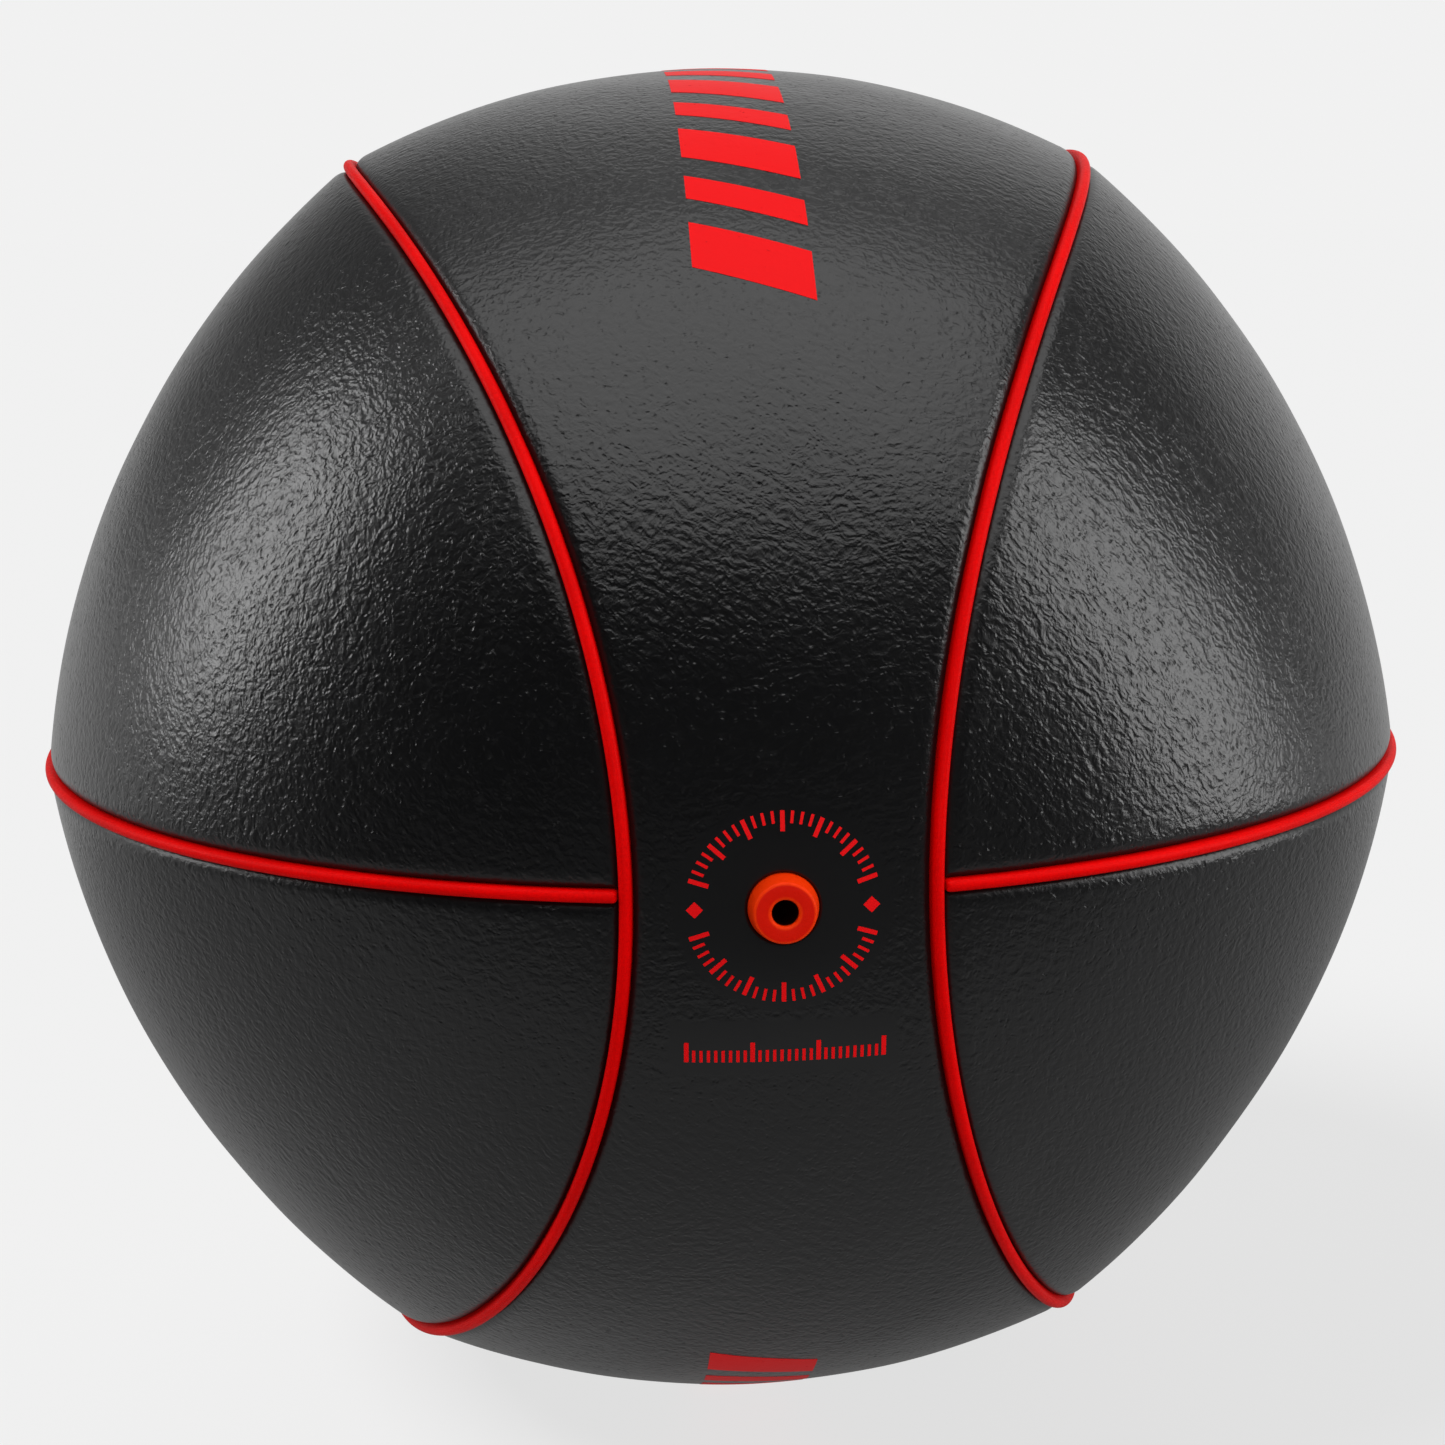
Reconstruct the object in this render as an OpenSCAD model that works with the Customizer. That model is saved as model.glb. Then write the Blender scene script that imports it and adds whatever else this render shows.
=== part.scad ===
// Air-filled rubber medicine ball.
// Thick rubber carcass with a five-panel pebbled cover, raised seam ribs and a needle valve.
// The ball's centre is the origin, +Z is up and the valve faces -Y.
// The two closed seam loops run round the ends of the X axis. The valve lies a little below the
// cross seams.

/* [Ball] */
// Diameter over the seam ribs
ball_d = 230; // [200:5:260]
// Thickness of the cover where it meets a seam
cover_t = 5.5; // [4.5:0.1:7]
// How far the middle of a side panel lies below its seams
panel_dip = 3.4; // [0:0.1:4]
// How far the middle of the band lies below its seams where each half is 30 degrees wide
band_dip = 2.3; // [0:0.1:3.5]
// Wall thickness of the rubber carcass
carcass_t = 13.6; // [8:0.1:20]
// Thickness of the yarn winding
winding_t = 0.8; // [0.4:0.1:1.5]
// Wall thickness of the bladder
bladder_t = 1.2; // [0.8:0.1:2]

/* [Seams] */
// Angle from the middle of the band to its edge at the waist
waist_angle = 10.6; // [8:0.1:16]
// How much wider the band is a quarter turn away from the waist
swell_angle = 21.3; // [10:0.1:24]
// Extra fullness of the band between its waist and its widest place
bulge_angle = 0.4; // [0:0.1:2]
// Angle from the valve up to the cross seams
seam_turn = 0.9; // [0:0.1:2]
// Width of a seam rib
rib_w = 1.8; // [1.4:0.1:3]
// Height of a rib's crown above the panel edges
rib_stand = 0.7; // [0.3:0.1:1]
// Gap between a rib and the panel edge on each side of it
rib_gap = 0.05; // [0.03:0.01:0.2]
// Width of the rounding along a panel's edge
edge_round_w = 2.4; // [1:0.1:3]
// Depth of the rounding along a panel's edge
edge_round_h = 1.2; // [0.5:0.1:1.8]

/* [Valve] */
// Diameter of the plug's head where it leaves the cover
head_d = 9.6; // [8:0.1:11]
// Diameter of the plug's outer face
face_d = 8.6; // [7.5:0.1:9]
// How far the plug's face stands out of the cover
head_h = 2.6; // [1:0.1:4]
// Diameter of the plug's stem
stem_d = 7; // [6:0.1:7.5]
// Diameter of the plug's inner end
tip_d = 5; // [4.2:0.1:5.5]
// Diameter of the needle's lead-in hole
lead_d = 3.6; // [3:0.1:4]
// Depth of the lead-in hole
lead_depth = 7; // [4:0.5:7]
// Diameter of the needle channel
channel_d = 2; // [1.6:0.1:2.4]
// Rubber left between the end of the channel and the plug's tip
slit_t = 2; // [1:0.1:3]
// Radial play between the plug and the holes it sits in
plug_play = 0.07; // [0.03:0.01:0.1]
// Outer diameter of the valve housing's sleeve
sleeve_d = 12; // [11:0.5:14]
// Outer diameter of the valve housing's flange
flange_d = 24; // [18:1:32]
// Diameter of the reinforcing patch
patch_d = 40; // [34:1:60]

/* [Mesh] */
// Steps round a seam loop
loop_steps = 108; // [72:4:120]
// Steps along a side panel's edge
edge_steps = 40; // [28:2:44]
// Rows across a panel
panel_rows = 9; // [6:1:10]

/* [Hidden] */

// Radii from the outside in
rib_r = ball_d / 2;
cover_r = rib_r - rib_stand;
carcass_r = cover_r - cover_t;
winding_r = carcass_r - carcass_t;
bladder_r = winding_r - winding_t;
air_r = bladder_r - bladder_t;
patch_t = 1.2;
flange_t = 1.8;

// Facets sag this much at most, so faceted skins stay this far above the round carcass
skin_lift = 0.25;
skin_r = carcass_r + skin_lift;

// The dip reaches its full depth this many degrees from a seam
dip_reach = 30;
channel_half = rib_w / 2 + rib_gap;

// Places along a panel edge's rounding, 0 at the channel and 1 where the rounding ends
round_steps = [0, 0.3, 1];
ring_count = len(round_steps);

// Clearances and reaches along the valve's axis
sleeve_gap = 0.3;
head_gap = 0.1;
seat_rise = 4;
seat_drop = 1;
tip_reach = 3;
cut_over = 1;

// Distances from the centre along the valve's axis
band_face = cover_r - band_dip * pow(waist_angle / dip_reach, 2);
plug_face = band_face + head_h;
sleeve_end = carcass_r - sleeve_gap;
shoulder = sleeve_end + head_gap;
seat_start = winding_r + seat_rise;
seat_end = air_r - seat_drop;
plug_tip = air_r - patch_t - flange_t - tip_reach;
tip_round = 2.5;
tip_end_d = tip_d - 2;
lead_end = plug_face - lead_depth;
lead_cone = 1.5;
mouth_bevel = 0.35;
plug_r = head_d / 2;
through = 2 * ball_d;

cover_colour = [0.13, 0.13, 0.135];
rib_colour = [0.9, 0.02, 0.05];
plug_colour = [0.92, 0.26, 0.03];
carcass_colour = [0.07, 0.07, 0.08];
yarn_colour = [0.88, 0.87, 0.8];
bladder_colour = [0.2, 0.2, 0.22];

// ---------------------------------------------------------------- directions on the ball

function unit(v) = v / norm(v);
function blend(a, b, t) = unit(a * (1 - t) + b * t);

// The band's half width, in degrees, at a turn round the X axis counted from the valve
function half_band(turn) = waist_angle + swell_angle * (1 - cos(2 * turn)) / 2
                         + bulge_angle * (1 - cos(4 * turn)) / 2;

function direction(side, turn) = [sin(side), -cos(side) * cos(turn), cos(side) * sin(turn)];
function side_of(v) = asin(v.x);
function turn_of(v) = atan2(v.z, -v.y);

// The right-hand seam loop, and the direction that points from it across the ball's surface
function loop_at(turn) = direction(half_band(turn), turn);
function loop_run(turn) = unit(loop_at(turn + 0.5) - loop_at(turn - 0.5));
function loop_across(turn) = unit(cross(loop_run(turn), loop_at(turn)));

// A length along the surface as an angle at the centre
function as_angle(length) = length / cover_r * 180 / PI;

// A point beside the right-hand loop; positive distances lie on the side panels
function beside_loop(turn, away) = loop_at(turn) * cos(as_angle(away))
                                 + loop_across(turn) * sin(as_angle(away));

// ---------------------------------------------------------------- heights of the cover

function rise_to_one(t) = t >= 1 ? 1 : t * (2 - t);

// Radius of the band's surface
function band_radius(v) = cover_r
    - band_dip * (pow(half_band(turn_of(v)), 2) - pow(side_of(v), 2)) / pow(dip_reach, 2);

// Radius of a side panel's surface
function side_radius(v) = cover_r - panel_dip
    * rise_to_one(max(0, side_of(v) - half_band(turn_of(v))) / dip_reach)
    * rise_to_one(abs(asin(v.z)) / dip_reach);

// How far a panel's edge has rounded off, from the full depth at 0 to nothing at 1
function edge_drop(t) = edge_round_h * (1 - sqrt(1 - pow(1 - t, 2)));
function inset(t) = channel_half + edge_round_w * t;

// ---------------------------------------------------------------- side panel

// Where the insets of the loop and of the cross seam meet
function corner_turn(away) = asin(sin(as_angle(away)) / cos(waist_angle + as_angle(away)));

// One closed outline of a side panel: along the loop, then back along the cross seam
function panel_outline(away) =
    let (first = corner_turn(away),
         corner = beside_loop(first, away),
         level = asin(corner.z),
         start = atan2(corner.x, -corner.y))
    [for (i = [0:2 * edge_steps - 1])
        i <= edge_steps
            ? beside_loop(first + (180 - 2 * first) * i / edge_steps, away)
            : let (swing = start + (180 - 2 * start) * (2 * edge_steps - i) / edge_steps)
              [sin(swing) * cos(level), -cos(swing) * cos(level), sin(level)]];

// Rows between the loop edge and the cross-seam edge of an outline
function panel_inside(outline) =
    [for (j = [1:edge_steps - 1], i = [1:panel_rows - 1])
        blend(outline[j], outline[2 * edge_steps - j], i / panel_rows)];

function side_panel_points() =
    let (rings = [for (t = round_steps) panel_outline(inset(t))],
         last = rings[ring_count - 1],
         foot = rings[0])
    concat(
        [for (k = [0:ring_count - 1]) for (v = rings[k])
            v * (side_radius(v) - edge_drop(round_steps[k]))],
        [for (v = panel_inside(last)) v * side_radius(v)],
        [for (v = foot) v * skin_r],
        [for (v = panel_inside(foot)) v * skin_r]);

// Number of a point of the grid inside an outline that starts at point `edge`
function grid_point(edge, inner, i, j) =
    j <= 0 ? edge
    : j >= edge_steps ? edge + edge_steps
    : i <= 0 ? edge + j
    : i >= panel_rows ? edge + 2 * edge_steps - j
    : inner + (j - 1) * (panel_rows - 1) + i - 1;

function flip(faces, turned) = turned ? [for (f = faces) [f[0], f[2], f[1]]] : faces;

function grid_faces(edge, inner) =
    [for (j = [0:edge_steps - 1], i = [0:panel_rows - 1], half = [0, 1])
        if (!(half == 1 && j == 0) && !(half == 0 && j == edge_steps - 1))
            let (a = grid_point(edge, inner, i, j),
                 b = grid_point(edge, inner, i, j + 1),
                 c = grid_point(edge, inner, i + 1, j + 1),
                 d = grid_point(edge, inner, i + 1, j))
            half == 0 ? [a, b, c] : [a, c, d]];

// Two triangles for each step between two closed rings of `count` points
function ring_faces(ring_a, ring_b, count) =
    [for (i = [0:count - 1], half = [0, 1])
        let (next = (i + 1) % count)
        half == 0 ? [ring_a + i, ring_a + next, ring_b + next]
                  : [ring_a + i, ring_b + next, ring_b + i]];

function side_panel_faces() =
    let (count = 2 * edge_steps,
         inside = (edge_steps - 1) * (panel_rows - 1),
         last = (ring_count - 1) * count,
         foot = ring_count * count + inside)
    concat(
        [for (k = [0:ring_count - 2]) each ring_faces(k * count, (k + 1) * count, count)],
        grid_faces(last, last + count),
        flip(grid_faces(foot, foot + count), true),
        flip(ring_faces(0, foot, count), true));

// Seams, ribs and panels are made with the cross seams in the XY plane, then turned to their place
module seams_turned() {
    rotate([-seam_turn, 0, 0])
    children();
}

// The panel right of the band and above the cross seam
module side_panel() {
    color(cover_colour)
    polyhedron(side_panel_points(), side_panel_faces());
}

// ---------------------------------------------------------------- band panel

// One section across the band, over the outer face and back along the inner face
function band_section(turn) =
    let (edges = [for (t = round_steps) beside_loop(turn, -inset(t))],
         last = edges[ring_count - 1],
         foot = edges[0])
    concat(
        [for (k = [0:ring_count - 1]) edges[k] * (band_radius(edges[k]) - edge_drop(round_steps[k]))],
        [for (i = [1:panel_rows - 1])
            let (v = direction(side_of(last) * (1 - 2 * i / panel_rows), turn_of(last)))
            v * band_radius(v)],
        [for (k = [ring_count - 1:-1:0])
            let (v = [-edges[k].x, edges[k].y, edges[k].z])
            v * (band_radius(v) - edge_drop(round_steps[k]))],
        [for (i = [0:panel_rows])
            direction(-side_of(foot) * (1 - 2 * i / panel_rows), turn_of(foot)) * skin_r]);

// A solid swept through closed sections that join up in a ring
module closed_sweep(sections) {
    size = len(sections[0]);
    turns = len(sections);
    polyhedron(
        [for (section = sections) each section],
        [for (s = [0:turns - 1]) each ring_faces(s * size, ((s + 1) % turns) * size, size)]);
}

module band_panel() {
    color(cover_colour)
    difference() {
        seams_turned()
        closed_sweep([for (s = [0:loop_steps - 1]) band_section(-360 * s / loop_steps)]);
        valve_hole(plug_r + plug_play, carcass_r - cover_t, rib_r + head_h);
    }
}

// ---------------------------------------------------------------- seam ribs

// Offsets across a rib and their radii: a round crown on a straight root
function rib_profile() =
    let (half = rib_w / 2,
         spring = rib_r - half)
    concat([[-half, skin_r]],
           [for (a = [180:-45:0]) [half * cos(a), spring + half * sin(a)]],
           [[half, skin_r]]);

module loop_rib() {
    color(rib_colour)
    closed_sweep([for (s = [0:loop_steps - 1])
        [for (p = rib_profile()) beside_loop(360 * s / loop_steps, p[0]) * p[1]]]);
}

// A point of the cross rib, which lies in the XY plane from one loop waist round to the other
function cross_point(swing, p) =
    p[1] * (cos(as_angle(p[0])) * [sin(swing), -cos(swing), 0] + sin(as_angle(p[0])) * [0, 0, 1]);

module cross_rib() {
    start = waist_angle + as_angle(channel_half);
    profile = rib_profile();
    size = len(profile);
    steps = edge_steps + 8;
    points = [for (s = [0:steps]) each
        [for (p = profile) cross_point(start + (180 - 2 * start) * s / steps, p)]];
    sides = [for (s = [0:steps - 1]) each ring_faces(s * size, (s + 1) * size, size)];
    first_cap = [for (i = [1:size - 2]) [0, i + 1, i]];
    last_cap = [for (i = [1:size - 2]) [steps * size, steps * size + i, steps * size + i + 1]];
    color(rib_colour)
    polyhedron(points, flip(concat(sides, first_cap, last_cap), true));
}

// ---------------------------------------------------------------- inner layers

// A round hole along the valve's axis, between two distances from the centre
module valve_hole(r, from, to) {
    rotate([90, 0, 0])
    translate([0, 0, from])
    cylinder(h = to - from, r = r, $fn = 64);
}

module shell(outer, inner) {
    difference() {
        sphere(r = outer, $fn = 96);
        sphere(r = inner, $fn = 96);
    }
}

module carcass_half(keep_front) {
    difference() {
        shell(carcass_r, winding_r);
        translate([-ball_d, keep_front ? 0 : -2 * ball_d, -ball_d])
        cube(2 * ball_d);
    }
}

module carcass_front() {
    color(carcass_colour)
    difference() {
        carcass_half(true);
        valve_hole(sleeve_d / 2, cut_over, through);
    }
}

module carcass_rear() {
    color(carcass_colour)
    carcass_half(false);
}

module winding() {
    color(yarn_colour)
    difference() {
        shell(winding_r, bladder_r);
        valve_hole(sleeve_d / 2, cut_over, through);
    }
}

module bladder() {
    color(bladder_colour)
    difference() {
        shell(bladder_r, air_r);
        valve_hole(sleeve_d / 2, cut_over, through);
    }
}

// A round piece of a thin shell, centred on the valve
module shell_disc(d, outer, thickness) {
    intersection() {
        shell(outer, outer - thickness);
        valve_hole(d / 2, cut_over, through);
    }
}

module valve_patch() {
    color(bladder_colour)
    difference() {
        shell_disc(patch_d, air_r, patch_t);
        valve_hole(sleeve_d / 2, cut_over, through);
    }
}

module valve_housing() {
    seat_r = tip_d / 2 + plug_play;
    color(bladder_colour)
    difference() {
        union() {
            shell_disc(flange_d, air_r - patch_t, flange_t);
            valve_hole(sleeve_d / 2, air_r - patch_t - flange_t / 2, sleeve_end);
        }
        rotate([90, 0, 0])
        rotate_extrude($fn = 64)
        polygon([
            [0, air_r / 2],
            [seat_r, air_r / 2],
            [seat_r, seat_end],
            [stem_d / 2 + plug_play, seat_start],
            [stem_d / 2 + plug_play, rib_r],
            [0, rib_r]]);
    }
}

// ---------------------------------------------------------------- valve plug

// Half section of the plug: radius, then distance from the ball's centre
function plug_outline() = [
    [0, plug_tip],
    [tip_end_d / 2, plug_tip],
    [tip_d / 2, plug_tip + tip_round],
    [tip_d / 2, seat_end],
    [stem_d / 2, seat_start],
    [stem_d / 2, shoulder],
    [plug_r, shoulder],
    [plug_r, band_face],
    [face_d / 2, plug_face - mouth_bevel],
    [face_d / 2 - mouth_bevel, plug_face],
    [0, plug_face]];

// Half section of the needle's way in
function needle_outline() = [
    [0, plug_tip + slit_t],
    [channel_d / 2, plug_tip + slit_t],
    [channel_d / 2, lead_end - lead_cone],
    [lead_d / 2, lead_end],
    [lead_d / 2, plug_face - mouth_bevel],
    [lead_d / 2 + mouth_bevel, plug_face],
    [lead_d / 2 + mouth_bevel, plug_face + cut_over],
    [0, plug_face + cut_over]];

module valve_plug() {
    color(plug_colour)
    rotate([90, 0, 0])
    difference() {
        rotate_extrude($fn = 64)
        polygon(plug_outline());
        rotate_extrude($fn = 64)
        polygon(needle_outline());
    }
}

// ---------------------------------------------------------------- nodes made by mirroring

module to_left() {
    mirror([1, 0, 0])
    children();
}

module to_lower() {
    mirror([0, 0, 1])
    children();
}

bladder();
valve_patch();
valve_housing();
winding();
carcass_front();
carcass_rear();
band_panel();
seams_turned() side_panel();  // side_panel_right_upper
seams_turned() to_lower() side_panel();  // side_panel_right_lower
seams_turned() to_left() side_panel();  // side_panel_left_upper
seams_turned() to_left() to_lower() side_panel();  // side_panel_left_lower
seams_turned() loop_rib();  // loop_rib_right
seams_turned() to_left() loop_rib();  // loop_rib_left
seams_turned() cross_rib();  // cross_rib_right
seams_turned() to_left() cross_rib();  // cross_rib_left
valve_plug();
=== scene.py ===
import math

import bpy
import numpy as np
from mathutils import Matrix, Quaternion, Vector


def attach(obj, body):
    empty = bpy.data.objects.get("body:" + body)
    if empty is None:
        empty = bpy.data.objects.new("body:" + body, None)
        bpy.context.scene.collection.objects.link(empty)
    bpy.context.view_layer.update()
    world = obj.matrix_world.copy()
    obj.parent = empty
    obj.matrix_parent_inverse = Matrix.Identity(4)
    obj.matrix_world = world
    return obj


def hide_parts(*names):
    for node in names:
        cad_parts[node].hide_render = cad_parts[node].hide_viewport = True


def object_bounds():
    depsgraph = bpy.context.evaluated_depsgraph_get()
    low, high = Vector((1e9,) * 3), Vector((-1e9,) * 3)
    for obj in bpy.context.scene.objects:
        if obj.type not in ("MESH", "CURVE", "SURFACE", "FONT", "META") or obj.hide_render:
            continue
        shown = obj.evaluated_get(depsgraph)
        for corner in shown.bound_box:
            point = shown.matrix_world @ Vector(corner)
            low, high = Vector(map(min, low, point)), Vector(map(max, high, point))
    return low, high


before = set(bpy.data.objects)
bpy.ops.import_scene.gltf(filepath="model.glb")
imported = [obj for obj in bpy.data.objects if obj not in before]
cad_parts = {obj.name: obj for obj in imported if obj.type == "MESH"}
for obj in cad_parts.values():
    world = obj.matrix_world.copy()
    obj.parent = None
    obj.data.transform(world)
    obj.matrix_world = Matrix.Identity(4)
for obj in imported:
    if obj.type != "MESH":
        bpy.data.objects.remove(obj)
cad_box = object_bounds()

# Lengths of the ball's parts are in millimetres and angles in degrees, as in the CAD source.
MM = 0.001
RIB_R = 115.0
COVER_R = 114.3
SKIN_R = 109.05
PANEL_DIP = 3.4
BAND_DIP = 2.3
DIP_REACH = 30.0
WAIST = 10.6
SWELL = 21.3
BULGE = 0.4
SEAM_TURN = 0.9
RIB_HALF = 0.9
CHANNEL_HALF = 0.95
ROUND_W = 2.4
ROUND_H = 1.2
HOLE_R = 4.87
SLEEVE_FACE = 108.6
PLUG_STAND = 2.6
BAND_FACE = COVER_R - BAND_DIP * (WAIST / DIP_REACH) ** 2
PLUG_FACE = BAND_FACE + PLUG_STAND

# -------- directions on the ball


def sin_deg(angle):
    return np.sin(np.radians(angle))


def cos_deg(angle):
    return np.cos(np.radians(angle))


def unit(vectors):
    return vectors / np.linalg.norm(vectors, axis=-1, keepdims=True)


def half_band(turn):
    """The band's half width at a turn round the X axis, counted from the valve."""
    return WAIST + SWELL * (1 - cos_deg(2 * turn)) / 2 + BULGE * (1 - cos_deg(4 * turn)) / 2


def direction(side, turn):
    """The direction at an angle to the side and at a turn round the X axis."""
    side, turn = np.broadcast_arrays(side, turn)
    return np.stack(
        [sin_deg(side), -cos_deg(side) * cos_deg(turn), cos_deg(side) * sin_deg(turn)], axis=-1
    )


def side_of(v):
    return np.degrees(np.arcsin(np.clip(v[..., 0], -1, 1)))


def turn_of(v):
    return np.degrees(np.arctan2(v[..., 2], -v[..., 1]))


def level_of(v):
    return np.degrees(np.arcsin(np.clip(v[..., 2], -1, 1)))


def loop_at(turn):
    """Directions along the right-hand seam loop."""
    return direction(half_band(turn), turn)


def as_angle(length):
    """A length along the cover as an angle at the ball's centre."""
    return np.degrees(length / COVER_R)


def beside_loop(turn, away):
    """A point beside the right-hand loop; positive distances lie on the side panels."""
    run = unit(loop_at(turn + 0.5) - loop_at(turn - 0.5))
    across = unit(np.cross(run, loop_at(turn)))
    turned = np.asarray(as_angle(away))[..., None]
    return loop_at(turn) * cos_deg(turned) + across * sin_deg(turned)


# The seams are laid out with the cross seams in the XY plane, then turned to their place.
TURN_COS = math.cos(math.radians(SEAM_TURN))
TURN_SIN = math.sin(math.radians(SEAM_TURN))
SEAM_ROTATION = np.array([[1, 0, 0], [0, TURN_COS, TURN_SIN], [0, -TURN_SIN, TURN_COS]])


def turned(points):
    """From the seams' own layout to the object's frame."""
    return points @ SEAM_ROTATION.T


def laid_out(points):
    """From the object's frame to the seams' own layout."""
    return points @ SEAM_ROTATION


# -------- heights of the cover


def rise_to_one(t):
    """From 0 to 1, steep at first and level at the end."""
    return np.where(t >= 1, 1.0, t * (2 - t))


def smooth_step(t):
    t = np.clip(t, 0, 1)
    return t * t * (3 - 2 * t)


WAVE_COUNT = 9
WAVE_HEIGHT = 0.02
WAVE_SEED = 5
SLOWEST_WAVE = 16.0
FASTEST_WAVE = 42.0
CALM_NEAR_VALVE = 3.5
CALM_FADE = 6
draws = np.random.default_rng(WAVE_SEED)
WAVE_WAYS = unit(draws.normal(size=(WAVE_COUNT, 3)))
WAVE_RATES = draws.uniform(SLOWEST_WAVE, FASTEST_WAVE, WAVE_COUNT)
WAVE_STARTS = draws.uniform(0.0, 2 * math.pi, WAVE_COUNT)


def unevenness(v):
    """Faint waves that a moulded cover has, in millimetres; none at the valve."""
    total = np.zeros(v.shape[:-1])
    for way, rate, start in zip(WAVE_WAYS, WAVE_RATES, WAVE_STARTS):
        total += np.sin((v @ way) * rate + start)
    from_valve = np.degrees(np.arccos(np.clip(-v[..., 1], -1, 1)))
    return WAVE_HEIGHT * total * smooth_step((from_valve - CALM_NEAR_VALVE) / CALM_FADE)


def band_radius(v):
    """Radius of the band's surface at a direction in the object's frame."""
    laid = laid_out(v)
    dip = BAND_DIP * (half_band(turn_of(laid)) ** 2 - side_of(laid) ** 2) / DIP_REACH**2
    return COVER_R - dip + unevenness(v)


def side_radius(v):
    """Radius of a side panel's surface at a direction in the seams' own layout."""
    from_loop = np.maximum(0, side_of(v) - half_band(turn_of(v)))
    dip = PANEL_DIP * rise_to_one(from_loop / DIP_REACH) * rise_to_one(np.abs(level_of(v)) / DIP_REACH)
    return COVER_R - dip + unevenness(v)


def edge_drop(t):
    """How far a panel's edge has rounded off, from the full depth at 0 to nothing at 1."""
    return ROUND_H * (1 - np.sqrt(1 - (1 - t) ** 2))


def inset(t):
    """How far from the seam's middle a place of the rounding lies."""
    return CHANNEL_HALF + ROUND_W * t


# Places along a panel edge's rounding, closer together where it is steep
EDGE_STEPS = 9
CROWDING = 1.2
ROUNDING = (1 - np.cos(np.linspace(0, math.pi / 2, EDGE_STEPS))) ** CROWDING

# -------- seams


def cross_seam(swing, level=0.0):
    """Directions along the right-hand cross seam, or level with it at an angle above it."""
    swing, level = np.broadcast_arrays(swing, level)
    return np.stack(
        [sin_deg(swing) * cos_deg(level), -cos_deg(swing) * cos_deg(level), sin_deg(level)], axis=-1
    )


LOOP_SAMPLES = 900
CROSS_SAMPLES = 400
BATCH = 4000
SEAM_POINTS = np.concatenate(
    [
        loop_at(np.linspace(-180, 180, LOOP_SAMPLES)),
        cross_seam(np.linspace(WAIST, 180 - WAIST, CROSS_SAMPLES)),
    ]
)


def seam_distance(v):
    """Millimetres along the cover to the nearest seam's middle, with the left half mirrored over."""
    mirrored = np.abs(v) * [1, 0, 0] + v * [0, 1, 1]
    nearest = np.empty(len(v))
    for first in range(0, len(v), BATCH):
        part = mirrored[first : first + BATCH]
        nearest[first : first + BATCH] = (part @ SEAM_POINTS.T).max(axis=1)
    return np.arccos(np.clip(nearest, -1, 1)) * COVER_R


# -------- meshes


def ring_faces(ring_a, ring_b):
    """Quads between two closed rings, each given as an array of point numbers."""
    return np.stack([ring_a, np.roll(ring_a, -1), np.roll(ring_b, -1), ring_b], axis=1).tolist()


def signed_volume(points, faces):
    total = 0.0
    for size in (3, 4):
        some = np.array([f for f in faces if len(f) == size])
        for k in range(1, size - 1):
            if len(some):
                a, b, c = points[some[:, 0]], points[some[:, k]], points[some[:, k + 1]]
                total += np.einsum("ij,ij->i", a, np.cross(b, c)).sum()
    return total


def new_piece(name, points, faces, material, body="ball", stands_for=None, crease=35):
    """A closed mesh in metres that rides on a body. Points come in millimetres."""
    if signed_volume(points, faces) < 0:
        faces = [f[::-1] for f in faces]
    mesh = bpy.data.meshes.new(name)
    mesh.from_pydata((points * MM).tolist(), [], faces)
    mesh.validate()
    mesh.shade_smooth()
    mesh.set_sharp_from_angle(angle=math.radians(crease))
    mesh.materials.append(material)
    piece = bpy.data.objects.new(name, mesh)
    bpy.context.scene.collection.objects.link(piece)
    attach(piece, body)
    if stands_for:
        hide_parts(stands_for)
    return piece


def add_seam_attribute(piece, points):
    """Stores each point's distance from the nearest seam, in millimetres, for the cover's material."""
    values = seam_distance(unit(points)).astype(np.float32)
    piece.data.attributes.new("seam_mm", "FLOAT", "POINT").data.foreach_set("value", values)


# -------- side panels

PANEL_STEPS = 260
PANEL_ROWS = 72
INNER_ROWS = 6


def corner_turn(away):
    """The turn at which a panel's edge leaves the loop for the cross seam."""
    return math.degrees(math.asin(sin_deg(as_angle(away)) / cos_deg(WAIST + as_angle(away))))


def panel_outline(away):
    """One closed outline of a side panel: along the loop, then back along the cross seam."""
    first = corner_turn(away)
    corner = beside_loop(np.array(first), away)
    level = level_of(corner)
    start = math.degrees(math.atan2(corner[0], -corner[1]))
    along = beside_loop(np.linspace(first, 180 - first, PANEL_STEPS + 1), away)
    back = cross_seam(np.linspace(180 - start, start, PANEL_STEPS + 1)[1:-1], level)
    return np.concatenate([along, back])


def panel_inside(outline, rows):
    """Points between the loop edge and the cross-seam edge, column by column."""
    near = outline[1:PANEL_STEPS][:, None]
    far = outline[: PANEL_STEPS : -1][:, None]
    t = (np.arange(1, rows) / rows)[None, :, None]
    return unit(near * (1 - t) + far * t).reshape(-1, 3)


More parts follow.
